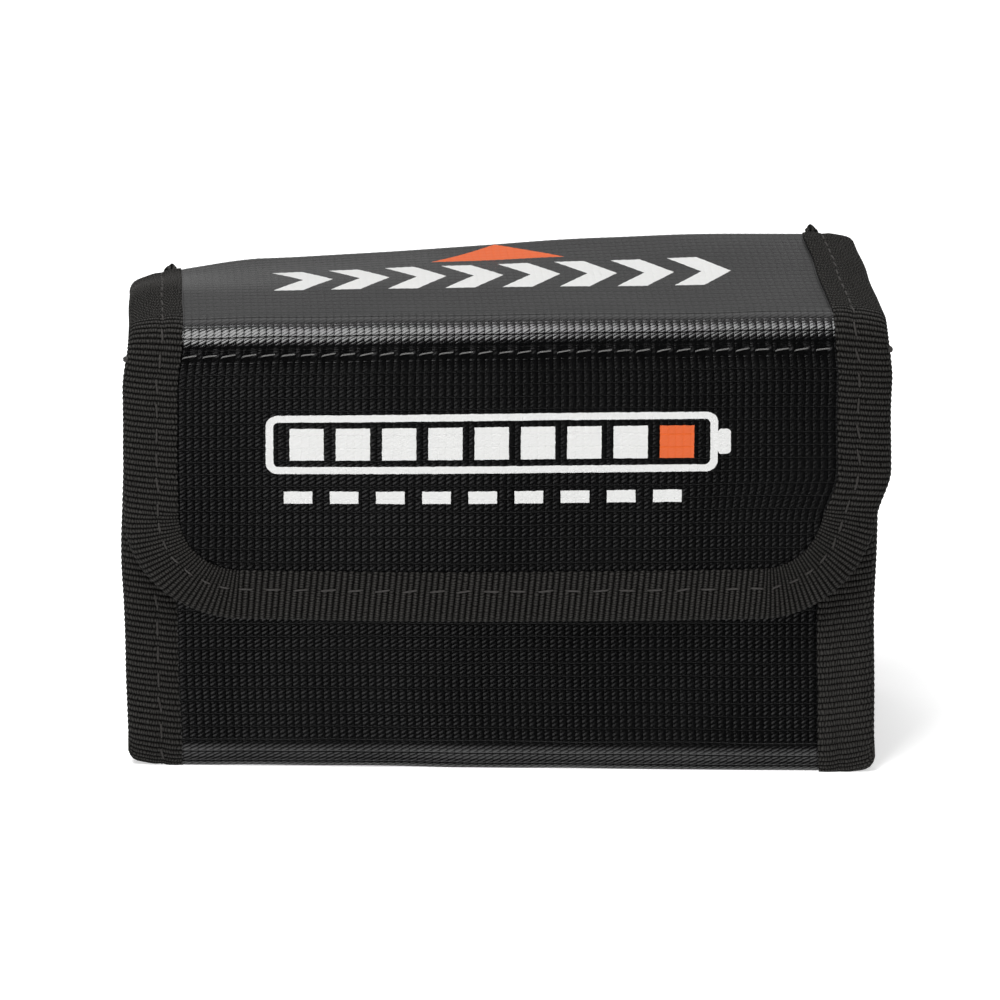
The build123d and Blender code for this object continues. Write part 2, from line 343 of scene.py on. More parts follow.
def scrim_weave():
    """Lengthwise ribs and fine crosswise rows, tied together by slanting yarns, under a coating."""
    tree, given, result = group(
        "scrim weave", ("Rib pitch", "Row pitch", "Ribs", "Rows", "Ties"), ("Height", "Groove", "Line")
    )
    place = split(given["Flat"])
    wander = calc("MULTIPLY_ADD", uneven(given["Flat"], 0.05, 1.0), 0.8, place["Y"])
    rib_phase = calc("DIVIDE", place["X"], given["Rib pitch"])
    row_phase = calc("DIVIDE", wander, given["Row pitch"])
    ribs, rows = ridges(rib_phase, 5.0), ridges(row_phase, 11.0)
    slant = calc("FRACT", rib_phase)
    tie_phase = calc("MULTIPLY_ADD", slant, 0.8, calc("MULTIPLY", row_phase, TIES_TO_ROW))
    ties = ridges(tie_phase, 2.0)
    height = calc("MULTIPLY", ribs, given["Ribs"])
    height = calc("MULTIPLY_ADD", rows, given["Rows"], height)
    height = calc("MULTIPLY_ADD", ties, given["Ties"], height)
    groove = calc("SUBTRACT", 1.0, calc("MINIMUM", ribs, rows))
    feed(result, {"Height": height, "Groove": groove, "Line": calc("SUBTRACT", 1.0, rows)})
    return tree


def lint():
    """A few specks of pale lint, as black cloth always carries."""
    tree, given, result = group("lint", ("Spacing",), ("Mask",))
    scale = calc("DIVIDE", 1.0, given["Spacing"])
    spots = node(tree, "TexVoronoi", {"Vector": given["Flat"], "Scale": scale})
    near = calc("LESS_THAN", spots.outputs["Distance"], 0.014)
    draw = node(tree, "SeparateColor", {"Color": spots.outputs["Color"]}).outputs[0]
    chosen = calc("GREATER_THAN", draw, 0.72)
    feed(result, {"Mask": calc("MULTIPLY", near, chosen)})
    return tree


SCRIM_WEAVE, LINT = scrim_weave(), lint()
LINT_COLOR = (0.37, 0.36, 0.33, 1)

MIX_SHARE, MIX_FROM, MIX_TO, MIX_RESULT = 0, 6, 7, 2  # a colour Mix node's own sockets, by number


def tint(share, low, high):
    """Goes from the colour low to the colour high as share goes from 0 to 1."""
    mixed = {MIX_SHARE: share, MIX_FROM: low, MIX_TO: high}
    return node(share, "Mix", mixed, data_type="RGBA").outputs[MIX_RESULT]


def new_material(name):
    """A material, its shader's inputs, and the piece's flat coordinates in millimetres."""
    material = bpy.data.materials.new(name)
    material.use_nodes = True
    tree = material.node_tree
    return material, tree.nodes["Principled BSDF"].inputs, node(tree, "UVMap", uv_map="flat").outputs[0]


def coated_cloth(name, ink=lambda flat: ()):
    """Black coated scrim, half glossy, its coating thinner and duller in the grooves, where painted shade
    darkens the colour.
    """
    material, shader, flat = new_material(name)
    threads = {"Rib pitch": RIB_PITCH / MM, "Row pitch": 2.53, "Ribs": 0.19, "Rows": 0.5, "Ties": 0.2}
    weave = use(SCRIM_WEAVE, flat, threads)
    patches, grain = uneven(flat, 0.045, 4.0), uneven(flat, 2.6, 3.0)
    color = tint(grain, (0.0015, 0.0015, 0.0017, 1), (0.0034, 0.0034, 0.0036, 1))
    # painted shade: the grooves between ribs and rows are painted near black
    color = tint(weave["Groove"], color, (0.001, 0.001, 0.001, 1))
    color = tint(use(LINT, flat, {"Spacing": 9.0})["Mask"], color, LINT_COLOR)
    rough = calc("MULTIPLY_ADD", patches, 0.14, 0.15)
    shine = calc("MULTIPLY_ADD", weave["Line"], -0.3, 0.47)
    shine = calc("MULTIPLY_ADD", weave["Groove"], -0.2, shine)
    for mask, paint in ink(flat):
        color = tint(mask, color, paint)
        rough = calc("MAXIMUM", rough, calc("MULTIPLY", mask, 0.5))
    height = calc("MULTIPLY_ADD", grain, 0.05, weave["Height"])
    feed(shader, {
        "Base Color": color, "Roughness": rough, "Specular IOR Level": shine,
        "Normal": bump(height, 1.0, 0.13 * MM),
    })
    return material


CLOTH = 0.9 * MM
SEAM_DEPTH = 0.75 * MM  # the seam allowance steps in by the tape's thickness
BOUND = 10 * MM  # width of the binding tape on each face
PLAIN_CLOTH = coated_cloth("coated cloth")


def panel(name, flat_mesh, thickness, material):
    """Lays a cloth on the bag as a sheet that was cut to this width and length."""
    lay_on_bag(flat_mesh)
    made = piece(name, flat_mesh, thickness)
    dress(made, material)
    return made


def step_in(x):
    """The cloth steps in at its seam allowance, so that the tape lies almost flush with it."""
    return -SEAM_DEPTH * smooth((abs(x) - (HALF_BODY - BOUND - 0.2 * MM)) / (1.8 * MM))


IN_TAPE = 0.8 * MM  # how far the cloth's edge stops short of the folded edge of its tape
half_cloth = HALF_BODY - IN_TAPE
front_cloth = panel(
    "front_base_cloth",
    flat_cloth(columns(half_cloth), stations(0, BASE_END), lambda x, s: scrim(x) + step_in(x)),
    CLOTH, PLAIN_CLOTH,
)
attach(front_cloth, "body")
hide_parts("front_base_panel")

# BACK WALL AND TOP
# A second length of the same cloth starts at the seam under the bag, goes up the back wall and on over
# the hinge edge as the top of the flap. It carries printed marks on the top, of white and orange ink.

WHITE_INK, ORANGE_INK = (0.74, 0.74, 0.73, 1), (0.74, 0.12, 0.021, 1)
TOP_MARK_MIDDLE = 0.7


def between(value, middle, full):
    """1 where a value is within a span, given by its middle and its full width."""
    return calc("LESS_THAN", calc("ABSOLUTE", calc("SUBTRACT", value, middle)), full / 2)


def both(*masks):
    """All masks multiplied, so 1 where every mask is 1."""
    kept = masks[0]
    for mask in masks[1:]:
        kept = calc("MULTIPLY", kept, mask)
    return kept


INK_SPREAD = (0.22, 0.22, 0.0)


def printed_edge(flat):
    """X and distance along the cloth, uneven as the edge of ink is on a ribbed cloth."""
    waver = node(flat, "TexNoise", {"Vector": flat, "Scale": 1.1, "Detail": 1.0}).outputs["Color"]
    shifted = node(flat, "VectorMath", {0: waver, 1: INK_SPREAD, 2: flat}, operation="MULTIPLY_ADD")
    place = split(shifted.outputs[0])
    return place["X"], place["Y"]


CHEVRONS, CHEVRON_PITCH = 8.0, 11.0
CHEVRONS_MIDDLE = 6.3  # where the row is centred once its slanting arms are counted
CHEVRONS_AT = (TOP_START + 26.0 * MM) / MM
CHEVRON_DEPTH = 19.0
ARROW_AT = (TOP_START + 6.0 * MM) / MM
ARROW_DEPTH = 13.0


def top_ink(flat):
    """White chevrons in a row across the top, and an orange arrowhead behind them."""
    x, s = printed_edge(flat)
    from_line = calc("ABSOLUTE", calc("SUBTRACT", s, CHEVRONS_AT))
    along = calc("MULTIPLY_ADD", from_line, 0.62, calc("SUBTRACT", x, CHEVRONS_MIDDLE))
    step = calc("DIVIDE", along, CHEVRON_PITCH)
    stripe = calc("LESS_THAN", calc("FRACT", step), 0.52)
    in_row = between(calc("FLOOR", step), -0.5, CHEVRONS)
    yield both(stripe, in_row, between(s, CHEVRONS_AT, CHEVRON_DEPTH)), WHITE_INK
    reach = calc("SUBTRACT", s, ARROW_AT - ARROW_DEPTH / 2)
    off_middle = calc("ABSOLUTE", calc("SUBTRACT", x, TOP_MARK_MIDDLE))
    head = calc("LESS_THAN", off_middle, reach)
    yield both(head, between(s, ARROW_AT, ARROW_DEPTH)), ORANGE_INK


SPLIT = TOP_END - 10 * MM  # where the cloth over the hinge meets the cloth over the front fold
back_flat = flat_cloth(
    columns(half_cloth),
    stations(BASE_END, SPLIT),
    lambda x, s: scrim(x) + step_in(x) * (1 - smooth((s - BACK_END) / (5 * MM))),
    lambda s: (half_width(s) - IN_TAPE) / half_cloth,
)
back_cloth = panel(
    "back_and_top_cloth", back_flat, CLOTH, coated_cloth("coated cloth, printed top", top_ink),
)
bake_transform(back_cloth)
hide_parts("back_panel", "flap_top_panel")

# FLAP FRONT
# The same cloth goes on over the rounded front fold and hangs down over the front wall, with its two
# lower corners cut round. Its mark is a row of charge cells in a battery's outline, over a dashed rule.

MARK_WIDTH = 84.0
MARK_MIDDLE = -2.8
CELL_PITCH = 8.6
CELLS = 9
BATTERY_AT = (FLAP_START + 17.6 * MM) / MM
BATTERY_DEPTH = 11.8
OUTLINE = 1.4
CELL_MARGIN = 1.3
RULE_AT = BATTERY_AT + 10.6
RULE_DEPTH = 2.4


def tile(x, s, middle, full, corner):
    """1 on a rectangle with rounded corners."""
    over = []
    for value, centre, size in zip((x, s), middle, full):
        off = calc("ABSOLUTE", calc("SUBTRACT", value, centre))
        past = calc("MAXIMUM", calc("SUBTRACT", off, size / 2 - corner), 0.0)
        over.append(calc("MULTIPLY", past, past))
    return calc("LESS_THAN", calc("ADD", *over), corner * corner)


def flap_ink(flat):
    """The battery's outline, contact and cells, the last one orange, and the dashed rule."""
    x, s = printed_edge(flat)
    middle = (MARK_MIDDLE, BATTERY_AT)
    inner = (MARK_WIDTH - 2 * OUTLINE, BATTERY_DEPTH - 2 * OUTLINE)
    outside = tile(x, s, middle, (MARK_WIDTH, BATTERY_DEPTH), 2.2)
    inside = tile(x, s, middle, inner, 1.0)
    contact = tile(x, s, (MARK_MIDDLE + MARK_WIDTH / 2 + 1.2, BATTERY_AT), (2.4, 5.0), 0.8)
    first = MARK_MIDDLE - CELL_PITCH * CELLS / 2
    step = calc("DIVIDE", calc("SUBTRACT", x, first), CELL_PITCH)
    cell = between(calc("FRACT", step), 0.5, 0.74)
    deep = between(s, BATTERY_AT, BATTERY_DEPTH - 2 * (OUTLINE + CELL_MARGIN))
    in_row = between(x, MARK_MIDDLE, CELL_PITCH * CELLS)
    cells = both(cell, deep, in_row)
    last = calc("GREATER_THAN", step, CELLS - 1.0)
    dash = calc("LESS_THAN", calc("FRACT", step), 0.62)
    rule = both(dash, between(s, RULE_AT, RULE_DEPTH), in_row)
    yield calc("SUBTRACT", calc("MAXIMUM", outside, contact), inside), WHITE_INK
    yield cells, WHITE_INK
    yield both(cells, last), ORANGE_INK
    yield rule, WHITE_INK


FLAP_CORNER = 22 * MM  # radius of the flap's lower corners at their outer edge
CORNER_CUTS = 9


def round_corners(bm, half, end, radius):
    """Cuts both lower corners of a flat flap round."""
    for side in (-1, 1):
        for number in range(CORNER_CUTS):
            angle = (number + 0.5) / CORNER_CUTS * pi / 2
            outwards = Vector((side * cos(angle), sin(angle), 0))
            centre = Vector((side * (half - radius), end - radius, 0))
            bmesh.ops.bisect_plane(
                bm, geom=bm.verts[:] + bm.edges[:] + bm.faces[:], plane_co=centre + outwards * radius,
                plane_no=outwards, clear_outer=True,
            )


half_flap_cloth = HALF_FLAP - IN_TAPE
flap_flat = flat_cloth(
    columns(half_flap_cloth), stations(SPLIT, FLAP_END - IN_TAPE), lambda x, s: scrim(x)
)
round_corners(flap_flat, half_flap_cloth, FLAP_END - IN_TAPE, FLAP_CORNER - IN_TAPE)
flap_cloth = panel(
    "flap_front_cloth", flap_flat, CLOTH, coated_cloth("coated cloth, printed flap", flap_ink),
)
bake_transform(flap_cloth)
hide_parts("flap_front_panel")

# SIDE WALLS
# Each end is a tray of the same cloth: a flat wall with its front, lower and back edges turned outwards
# along the walls that they are sewn to. The turned-out edges are the seam allowance, hidden in tape.

SIDE_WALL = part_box("right_side_panel")[0].x + CLOTH / 2
SIDE_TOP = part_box("right_side_panel")[1].z
WALL_INSET = 2.2 * MM
SIDE_HOLLOW = 1.1 * MM  # how far the middle of a side wall is drawn in


def side_grid(low, high, base, ribbed):
    """A flat wall, as a grid in (Y, Z, height) with its lower corners rounded."""
    corner = BASE_CORNER - base
    across = spread(low, high, round((high - low) / (RIB_PITCH / 4 if ribbed else 1.6 * MM)))
    up = spread(base, SIDE_TOP, round((SIDE_TOP - base) / (1.9 * MM)))
    bm = flat_cloth(across, up, lambda y, z: scrim(y) if ribbed else 0.0)
    for vert in bm.verts:
        middle = Vector((min(max(vert.co.x, low + corner), high - corner), max(vert.co.y, base + corner)))
        reach = vert.co.xy - middle
        if reach.x and reach.y:
            vert.co.xy = middle + reach * max(abs(reach.x), abs(reach.y)) / reach.length
    return bm


def stand_side(bm, side, x_face):
    """Stands a flat wall up at one end of the bag."""
    keep_flat(bm, {vert: vert.co.xy / MM for vert in bm.verts})
    for vert in bm.verts:
        y, z, raised = vert.co
        across = sin(pi * min(1, max(0, (y - FRONT) / (BACK - FRONT))))
        rumple = 1 + 0.5 * noise.noise(Vector((y, z, side * 0.1)) / (22 * MM))
        hollow = SIDE_HOLLOW * across * smooth(z / (20 * MM)) * rumple
        vert.co = settle(Vector((side * (x_face - hollow + raised), y, z)))
    if side < 0:
        bmesh.ops.reverse_faces(bm, faces=bm.faces[:])


def turned_out_edge(bm, side):
    """Adds the seam allowance to a side wall's mesh."""
    reach = sorted(side * x for x in spread(SIDE_WALL, HALF_BODY - IN_TAPE, 6))
    strip = flat_cloth(reach, stations(0, BACK_END), lambda x, s: -WALL_INSET)
    lay_on_bag(strip)
    loose = bpy.data.meshes.new("turned out edge")
    strip.to_mesh(loose)
    strip.free()
    bm.from_mesh(loose)
    bpy.data.meshes.remove(loose)


for name, side in (("left", -1), ("right", 1)):
    wall = side_grid(FRONT + WALL_INSET, BACK - WALL_INSET, WALL_INSET, ribbed=True)
    stand_side(wall, side, SIDE_WALL + CLOTH / 2)
    turned_out_edge(wall, side)
    side_wall = piece(f"{name}_side_cloth", wall, CLOTH)
    dress(side_wall, PLAIN_CLOTH)
    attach(side_wall, "body")
    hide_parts(f"{name}_side_panel")

# LININGS
# Each wall and the flap are lined with uncoated, silver-grey glass-fibre cloth in a close plain weave.
# It lies against the inside of the coated cloth and is caught in the same seams.

LINING = 0.6 * MM
LINING_FACE = -1.0 * MM
HALF_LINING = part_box("front_base_lining")[1].x


def glass_cloth():
    """Silver-grey glass-fibre cloth with a close plain weave and a soft shine."""
    material, shader, flat = new_material("glass-fibre lining")
    threads = {"Rib pitch": 0.85, "Row pitch": 0.95, "Ribs": 0.5, "Rows": 0.5, "Ties": 0.0}
    weave = use(SCRIM_WEAVE, flat, threads)
    patches = uneven(flat, 0.09, 5.0)
    color = tint(patches, (0.30, 0.31, 0.32, 1), (0.42, 0.43, 0.44, 1))
    # painted shade: the Base Color paints the grooves between the yarns darker grey
    feed(shader, {
        "Base Color": tint(weave["Groove"], color, (0.16, 0.165, 0.17, 1)),
        "Roughness": calc("MULTIPLY_ADD", patches, 0.2, 0.42), "Metallic": 0.25,
        "Normal": bump(weave["Height"], 0.9, 0.14 * MM),
    })
    return material


GLASS_CLOTH = glass_cloth()


def flat_lining(half, begin, end, width=lambda s: 1.0):
    """A flat lining, level with the inside of the coated cloth."""
    return flat_cloth(columns(half, 2 * MM), stations(begin, end), lambda x, s: LINING_FACE, width)


def lining(name, flat_mesh):
    """A lining of the glass-fibre cloth."""
    return panel(name, flat_mesh, LINING, GLASS_CLOTH)


front_lining = lining(
    "front_base_lining_cloth", flat_lining(HALF_LINING, 0, BASE_END),
)
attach(front_lining, "body")
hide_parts("front_base_lining")


def back_lining_width(s):
    """The back lining fits between the side walls, and is as wide as the flap past the hinge."""
    wider = smooth((s - TOP_START) / (5 * MM))
    return (HALF_LINING + (half_flap_cloth - HALF_LINING) * wider) / half_flap_cloth


back_lining = lining(
    "back_and_top_lining_cloth", flat_lining(half_flap_cloth, BASE_END, SPLIT, back_lining_width),
)
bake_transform(back_lining)
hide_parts("back_lining", "flap_top_lining")

flap_lining_flat = flat_lining(half_flap_cloth, SPLIT, FLAP_END - IN_TAPE)
round_corners(flap_lining_flat, half_flap_cloth, FLAP_END - IN_TAPE, FLAP_CORNER - IN_TAPE)
flap_lining = lining("flap_front_lining_cloth", flap_lining_flat)
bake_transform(flap_lining)
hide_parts("flap_front_lining")

side_lining_ends = [corner.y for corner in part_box("right_mouth_binding")]
for name, side in (("left", -1), ("right", 1)):
    wall = side_grid(*side_lining_ends, LINING - LINING_FACE, ribbed=False)
    stand_side(wall, side, SIDE_WALL - CLOTH / 2 - 0.05 * MM)
    side_lining = piece(f"{name}_side_lining_cloth", wall, LINING)
    dress(side_lining, GLASS_CLOTH)
    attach(side_lining, "body")
    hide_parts(f"{name}_side_lining")

# BINDING TAPE
# Every sewn edge is covered by ribbed nylon tape, folded in half over it: both side seams, the three
# edges of the mouth and the flap. The ribs run across the tape, and the stitching sinks into it.

TAPE_RIB_PITCH = 1.13 * MM
TAPE_RIB = 0.15 * MM
TAPE = 0.5 * MM
TAPE_SKEW = 0.1  # how far the ribs lean, because the tape is never folded quite square
STITCH_IN = 6.3 * MM  # from the folded edge to the stitching
FOLD_DEPTH = 1.5 * MM
PER_RIB = 4


def webbing_weave():
    """Ribs across a tape, each one a row of beads where the lengthwise yarns pass over it."""
    tree, given, result = group("webbing weave", ("Rib pitch", "Bead pitch", "Wear"), ("Height", "Yarn"))
    place = split(given["Flat"])
    rib_phase = calc("DIVIDE", place["X"], given["Rib pitch"])
    offset = calc("MULTIPLY", calc("FLOOR", rib_phase), 0.5)
    offset = calc("MULTIPLY_ADD", uneven(given["Flat"], 0.7, 2.0), 2.2, offset)
    bead_phase = calc("ADD", calc("DIVIDE", place["Y"], given["Bead pitch"]), offset)
    ribs, beads = ridges(rib_phase, 1.6), ridges(bead_phase, 2.0)
    fuzz = uneven(given["Flat"], 3.5, 3.0)
    height = calc("MULTIPLY", ribs, calc("MULTIPLY_ADD", beads, 0.5, 0.5))
    height = calc("MULTIPLY_ADD", fuzz, given["Wear"], height)
    on_yarn = calc("MULTIPLY", ribs, calc("MULTIPLY_ADD", beads, 0.75, 0.25))
    on_yarn = calc("POWER", on_yarn, 1.6)
    # low between the yarns, where the colour is painted shade, and lifted by fuzzy wear on top
    wear_and_gap_shade = calc("MULTIPLY_ADD", calc("SUBTRACT", fuzz, 0.5), given["Wear"], on_yarn)
    feed(result, {"Height": height, "Yarn": calc("MAXIMUM", wear_and_gap_shade, 0.0)})
    return tree


WEBBING_WEAVE = webbing_weave()


def webbing(name, dark, light, rib_pitch, sheen):
    """Ribbed nylon tape, painted darker between its yarns as painted shade, with a little wear on top of
    them.
    """
    material, shader, flat = new_material(name)
    yarns = {"Rib pitch": rib_pitch, "Bead pitch": 0.5, "Wear": 0.8}
    weave = use(WEBBING_WEAVE, flat, yarns)
    patches = uneven(flat, 0.12, 5.0)
    faded = tint(patches, tuple(0.6 * part for part in light[:3]) + (1,), light)
    # painted shade: the dark colour is painted into the gaps between the yarns
    color = tint(weave["Yarn"], dark, faded)
    feed(shader, {
        "Base Color": tint(use(LINT, flat, {"Spacing": 6.0})["Mask"], color, LINT_COLOR),
        "Roughness": calc("MULTIPLY_ADD", patches, 0.2, 0.62),
        "Specular IOR Level": calc("MULTIPLY", weave["Yarn"], 0.4),
        "Sheen Weight": sheen, "Sheen Roughness": 0.5,
        "Normal": bump(weave["Height"], 1.0, 0.22 * MM),
    })
    return material


# the first colour is painted shade between the yarns, the second the yarns' own colour
BINDING = webbing(
    "binding tape", (0.0018, 0.0017, 0.0015, 1), (0.049, 0.046, 0.042, 1), TAPE_RIB_PITCH / MM, 0.03
)


def leg_height(inwards):
    """How far a tape's face is drawn in at its stitching and at its woven edge."""
    stitched = exp(-(((inwards - STITCH_IN) / (0.75 * MM)) ** 2))
    selvedge = smooth((inwards - (BOUND - 1.1 * MM)) / (1.1 * MM))
    return -0.26 * MM * stitched - 0.16 * MM * selvedge


def tape_section(middle, half):
    """Across a folded tape: (inwards, above, and the two parts of the way that its face looks)."""
    face = spread(BOUND, FOLD_DEPTH, 14)
    outer = [(d, middle + half + leg_height(d), 0, 1) for d in face]
    turn = []
    for number in range(1, 7):
        angle = number / 7 * pi
        turn.append((FOLD_DEPTH * (1 - sin(angle)), middle + half * cos(angle), -sin(angle), cos(angle)))
    inner = [(d, middle - half - leg_height(d), 0, -1) for d in reversed(face)]
    return outer + turn + inner


def bind(name, length, place, middle, half):
    """Folds a tape over an edge. place(l, d, out) is l along the edge, d in from it and out above."""
    section = tape_section(middle, half)
    count = round(length / TAPE_RIB_PITCH) * PER_RIB
    bm = bmesh.new()
    bmesh.ops.create_grid(bm, x_segments=len(section) - 1, y_segments=count, size=0.5)
    own = {}
    for number, vert in enumerate(bm.verts):
        inwards, above, look_in, look_out = section[number % len(section)]
        row = number // len(section)
        along = length * row / count
        rib = 0.5 - 0.5 * cos(2 * pi * row / PER_RIB)
        looped = 0.5 + 0.5 * cos(pi * row / PER_RIB)
        from_fold = inwards if above > middle else -inwards
        own[vert] = (row / PER_RIB * TAPE_RIB_PITCH / MM, from_fold / MM)
        off_end = smooth(along / (4 * MM)) * smooth((length - along) / (4 * MM))
        if inwards > BOUND - 0.3 * MM:
            inwards += (0.16 * looped + 0.08 * rib) * MM
        raised = TAPE_RIB * rib
        leant = along + TAPE_SKEW * from_fold * off_end
        vert.co = place(leant, inwards + raised * look_in, above + raised * look_out)
    keep_flat(bm, own)
    bm.normal_update()
    bm.faces.ensure_lookup_table()
    across = len(section) - 1
    sample = bm.faces[len(bm.faces) // 2 // across * across + 3]
    outwards = place(length / 2, STITCH_IN, middle + 2 * half) - place(length / 2, STITCH_IN, middle + half)
    if sample.normal.dot(outwards) < 0:
        bmesh.ops.reverse_faces(bm, faces=bm.faces[:])
    return piece(name, bm, TAPE)


def side_seam(side):
    """Down the front, under the base and up the back at one side of the body."""
    return lambda l, d, out: on_bag(side * (HALF_BODY - d), l, out)


def flap_edge(l, d, out):
    """From the hinge along the left of the flap, round its free edge and back along the right."""
    straight = FLAP_END - FLAP_CORNER - TOP_START
    arc = FLAP_CORNER * pi / 2
    bottom = 2 * (HALF_FLAP - FLAP_CORNER)
    side, left_over = -1, l
    if l > straight + arc + bottom / 2:
        side, left_over = 1, 2 * (straight + arc) + bottom - l
    if left_over < straight:
        return on_bag(side * (HALF_FLAP - d), TOP_START + left_over, out)
    if left_over < straight + arc:
        angle = (left_over - straight) / FLAP_CORNER
        reach = FLAP_CORNER - d
        x = HALF_FLAP - FLAP_CORNER + reach * cos(angle)
        return on_bag(side * x, FLAP_END - FLAP_CORNER + reach * sin(angle), out)
    x = HALF_FLAP - FLAP_CORNER - (left_over - straight - arc)
    return on_bag(side * x, FLAP_END - d, out)


FLAP_EDGE_LENGTH = 2 * (FLAP_END - FLAP_CORNER - TOP_START + FLAP_CORNER * pi / 2 + HALF_FLAP - FLAP_CORNER)
MOUTH_TAPE_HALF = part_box("front_mouth_binding")[1].x
MOUTH_EDGE = 0.7 * MM
SIDE_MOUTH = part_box("right_mouth_binding")


def front_mouth(l, d, out):
    """Along the top edge of the front wall."""
    return on_bag(l - MOUTH_TAPE_HALF, d - MOUTH_EDGE, out)


def side_mouth(side):
    """Along the top edge of a side wall, from front to back."""

    def place(l, d, out):
        y, z = SIDE_MOUTH[0].y + l, SIDE_MOUTH[1].z - d
        hollow = SIDE_HOLLOW * sin(pi * (y - FRONT) / (BACK - FRONT))
        return settle(Vector((side * (SIDE_WALL - 0.4 * MM - hollow + out), y, z)))

    return place


SIDE_TAPE = (-1.6 * MM, 1.75 * MM)  # middle and half thickness of what the tape's legs enclose
FLAP_TAPE = (-0.85 * MM, 1.45 * MM)
SIDE_MOUTH_LENGTH = SIDE_MOUTH[1].y - SIDE_MOUTH[0].y

bound_edges = {
    "left_side_binding": (BACK_END, side_seam(-1), SIDE_TAPE),
    "right_side_binding": (BACK_END, side_seam(1), SIDE_TAPE),
    "front_mouth_binding": (2 * MOUTH_TAPE_HALF, front_mouth, FLAP_TAPE),
    "left_mouth_binding": (SIDE_MOUTH_LENGTH, side_mouth(-1), (0, 1.35 * MM)),
    "right_mouth_binding": (SIDE_MOUTH_LENGTH, side_mouth(1), (0, 1.35 * MM)),
}
for name, (length, place, (middle, half)) in bound_edges.items():
    binding = bind(f"{name}_tape", length, place, middle, half)
    dress(binding, BINDING)
    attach(binding, "body")
    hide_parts(name)

flap_binding = bind("flap_binding_tape", FLAP_EDGE_LENGTH, flap_edge, *FLAP_TAPE)
dress(flap_binding, BINDING)
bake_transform(flap_binding)
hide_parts("left_flap_top_binding", "right_flap_top_binding", "flap_front_binding")

# STITCHING
# Every seam is lockstitched with black polyester thread. Each stitch lies on the tape or cloth and dips
# into it at both ends, and the inner face of each seam shows the bobbin's stitches.

THREAD = 0.36 * MM
TAPE_STITCH = 5.1 * MM


def sewing_thread(name, color):
    """Twisted thread with a dull shine."""
    material, shader, flat = new_material(name)
    wave = {"Vector": flat, "Scale": 1.6, "Distortion": 0.4}
    twist = node(flat, "TexWave", wave, bands_direction="DIAGONAL").outputs["Fac"]
    # painted shade: the low grooves of the twist are painted darker
    feed(shader, {
        "Base Color": tint(twist, tuple(0.45 * part for part in color[:3]) + (1,), color),
        "Roughness": calc("MULTIPLY_ADD", twist, 0.1, 0.45),
        "Normal": bump(twist, 0.7, 0.08 * MM),
    })
    return material


THREAD_BLACK = sewing_thread("sewing thread", (0.06, 0.054, 0.05, 1))
THREAD_GREY = sewing_thread("crease thread", (0.22, 0.215, 0.21, 1))
draws = Random(5)


def strands(count, steps, sides, point):
    """Short closed filaments in one mesh. point(number, share, angle) gives a place and its flat place."""
    bm = bmesh.new()
    across = count * (sides + 1)
    bmesh.ops.create_grid(bm, x_segments=across - 1, y_segments=steps, size=0.5)
    own = {}
    for index, vert in enumerate(bm.verts):
        number, side = divmod(index % across, sides + 1)
        vert.co, own[vert] = point(number, index // across / steps, 2 * pi * side / sides)
    keep_flat(bm, own)
    gaps = [face for face in bm.faces if face.index % (across - 1) % (sides + 1) == sides]
    bmesh.ops.delete(bm, geom=gaps, context="FACES")
    bmesh.ops.remove_doubles(bm, verts=bm.verts[:], dist=0.002 * MM)
    bmesh.ops.recalc_face_normals(bm, faces=bm.faces[:])
    return bm


TAPE_ROW = {"pitch": TAPE_STITCH, "thread": THREAD, "stroke": 0.68, "slant": (-0.1, 0.35), "hook": 0.0}
CREASE_ROW = {"pitch": CREASE_PITCH, "thread": 0.32 * MM, "stroke": 0.86, "slant": (-0.3, -0.1), "hook": 2.4}


def stitch_row(name, length, place, inwards, faces, row=TAPE_ROW, material=THREAD_BLACK):
    """A row of separate stitches on each face given as (height above, way that it looks)."""
    pitch, thread = row["pitch"], row["thread"]
    per_face = int(length / pitch)
    stitches = [
        ((number + 0.5) * pitch + draws.uniform(-0.15, 0.15) * MM, draws.uniform(*row["slant"]) * MM, *face)
        for face in faces for number in range(per_face)
    ]

    def point(number, share, angle):
        middle, slant, above, look = stitches[number]
        along = 2 * share - 1
        thick = thread / 2 * max(0.0, 1 - abs(along) ** 5) ** 0.5
        aside, rise = thick * cos(angle), thick * sin(angle)
        out = above + look * (rise - 0.7 * thread * along**4 + 0.15 * thread)
        l = middle + along * row["stroke"] * pitch / 2
        aside += slant * along + row["hook"] * MM * max(0.0, -along - 0.72)
        return place(l, inwards + aside, out), (l / MM, angle * thread / MM)

    made = piece(name, strands(len(stitches), 8, 6, point))
    dress(made, material)
    return made


def tape_faces(middle, half):
    """The two faces of a tape where it is stitched."""
    sunk = leg_height(STITCH_IN) + 0.5 * TAPE_RIB
    return ((middle + half + sunk, 1), (middle - half - sunk, -1))


for name, (length, place, legs) in bound_edges.items():
    row = stitch_row(f"{name}_stitches", length, place, STITCH_IN, tape_faces(*legs))
    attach(row, "body")
    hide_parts(name.replace("mouth_binding", "mouth") + "_thread")

flap_stitches = stitch_row(
    "flap_binding_stitches", FLAP_EDGE_LENGTH, flap_edge, STITCH_IN, tape_faces(*FLAP_TAPE)
)
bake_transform(flap_stitches)
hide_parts("flap_top_binding_thread", "flap_front_binding_thread")

crease_half = HALF_FLAP - BOUND
crease_stitches = stitch_row(
    "flap_crease_stitches", 2 * crease_half, lambda l, d, out: on_bag(l - crease_half, CREASE + d, out),
    0.0, ((RIB_HEIGHT / 2, 1), (LINING_FACE - LINING, -1)), CREASE_ROW, THREAD_GREY,
)
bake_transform(crease_stitches)
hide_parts("flap_crease_thread")


